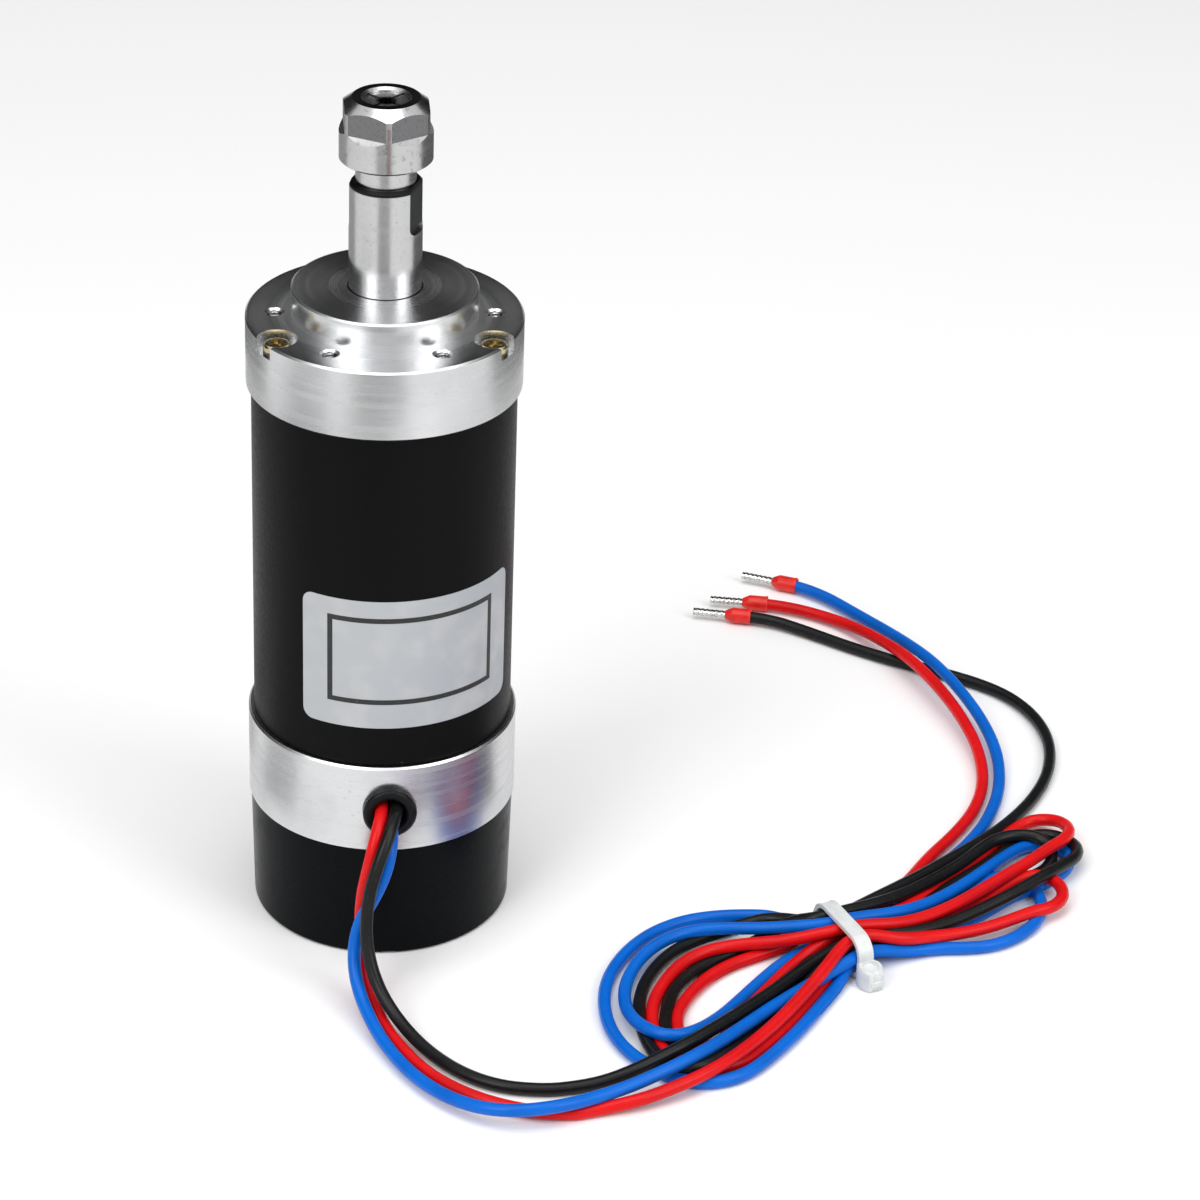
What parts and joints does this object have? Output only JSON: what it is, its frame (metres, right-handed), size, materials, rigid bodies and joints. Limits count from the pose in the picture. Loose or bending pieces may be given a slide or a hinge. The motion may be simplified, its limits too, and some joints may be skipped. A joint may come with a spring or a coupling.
{
  "type": "motor spindle",
  "caption": "Round brushless motor spindle with a bolt-on front flange, collet nose, hex collet nut and loose motor leads tied in a hank.",
  "frame": {"origin": "centre of the rear cover's bottom face, on the spindle axis", "axes": "+Z along the spindle axis towards the collet nut; -Y towards the cable grommet; +X to the side where the tied leads lie"},
  "size_m": [0.1902, 0.2266, 0.1862],
  "materials": {
    "cover_plastic": "smooth moulded, satin gloss",
    "tube_coating": "fine satin coating",
    "turned_aluminium": "turned, satin",
    "grommet_rubber": "moulded, matte",
    "cover_screw_steel": "black oxide",
    "zinc_screw": "yellow zinc plated",
    "shaft_steel": "ground, bright",
    "nut_steel": "machined, plated",
    "collet_steel": "ground",
    "seal_rubber": "moulded, matte",
    "bearing_steel": "ground, bright",
    "spring_steel": "spring steel",
    "core_steel": "stacked laminations",
    "liner_paper": "insulating paper",
    "winding": "enamelled copper",
    "magnet": "nickel plated",
    "lead_black": "glossy soft insulation",
    "lead_blue": "glossy soft insulation",
    "lead_red": "glossy soft insulation",
    "tie_nylon": "natural nylon, slightly see-through",
    "ferrule_collar": "moulded",
    "ferrule_pin": "tinned, crimped"
  },
  "bodies": {
    "housing": {"bearing_spacer": "spring_steel", "cable_tie": "tie_nylon", "cover_screws": "cover_screw_steel", "ferrule_collar_black": "ferrule_collar", "ferrule_collar_blue": "ferrule_collar", "ferrule_collar_red": "ferrule_collar", "ferrule_pin_black": "ferrule_pin", "ferrule_pin_blue": "ferrule_pin", "ferrule_pin_red": "ferrule_pin", "flange_screws": "zinc_screw", "front_bearing_lower_outer_ring": "bearing_steel", "front_bearing_lower_seals": "seal_rubber", "front_bearing_upper_outer_ring": "bearing_steel", "front_bearing_upper_seals": "seal_rubber", "front_flange": "turned_aluminium", "lead_black": "lead_black", "lead_black_tail": "lead_black", "lead_blue": "lead_blue", "lead_blue_tail": "lead_blue", "lead_grommet": "grommet_rubber", "lead_hank": "lead_black", "lead_red": "lead_red", "lead_red_tail": "lead_red", "motor_tube": "tube_coating", "preload_washer": "spring_steel", "rear_bearing_outer_ring": "bearing_steel", "rear_bearing_seals": "seal_rubber", "rear_cover": "cover_plastic", "rear_ring": "turned_aluminium", "retaining_ring": "spring_steel", "ring_screws": "zinc_screw", "stator_coils": "winding", "stator_core": "core_steel", "tooth_liners": "liner_paper"},
    "rotor": {"spindle_shaft": "shaft_steel", "front_bearing_upper_inner_ring": "bearing_steel", "front_bearing_lower_inner_ring": "bearing_steel", "rear_bearing_inner_ring": "bearing_steel", "rotor_core": "core_steel", "rotor_magnets": "magnet"},
    "collet": {"collet": "collet_steel"},
    "nut": {"collet_nut": "nut_steel"}
  },
  "joints": [
    {"name": "spindle_spin", "type": "hinge", "parent": "housing", "child": "rotor", "pos_m": [0, 0, 0.13], "axis": [0, 0, 1], "continuous": true},
    {"name": "collet_slide", "type": "slide", "parent": "rotor", "child": "collet", "axis": [0, 0, 1], "range_m": [0, 0.00225]},
    {"name": "nut_turn", "type": "hinge", "parent": "collet", "child": "nut", "pos_m": [0, 0, 0.18], "axis": [0, 0, 1], "range_deg": [0, 1080]}
  ],
  "couplings": [
    {"joint": "nut_turn", "follows": "collet_slide", "rad_per_m": 8377.6}
  ]
}
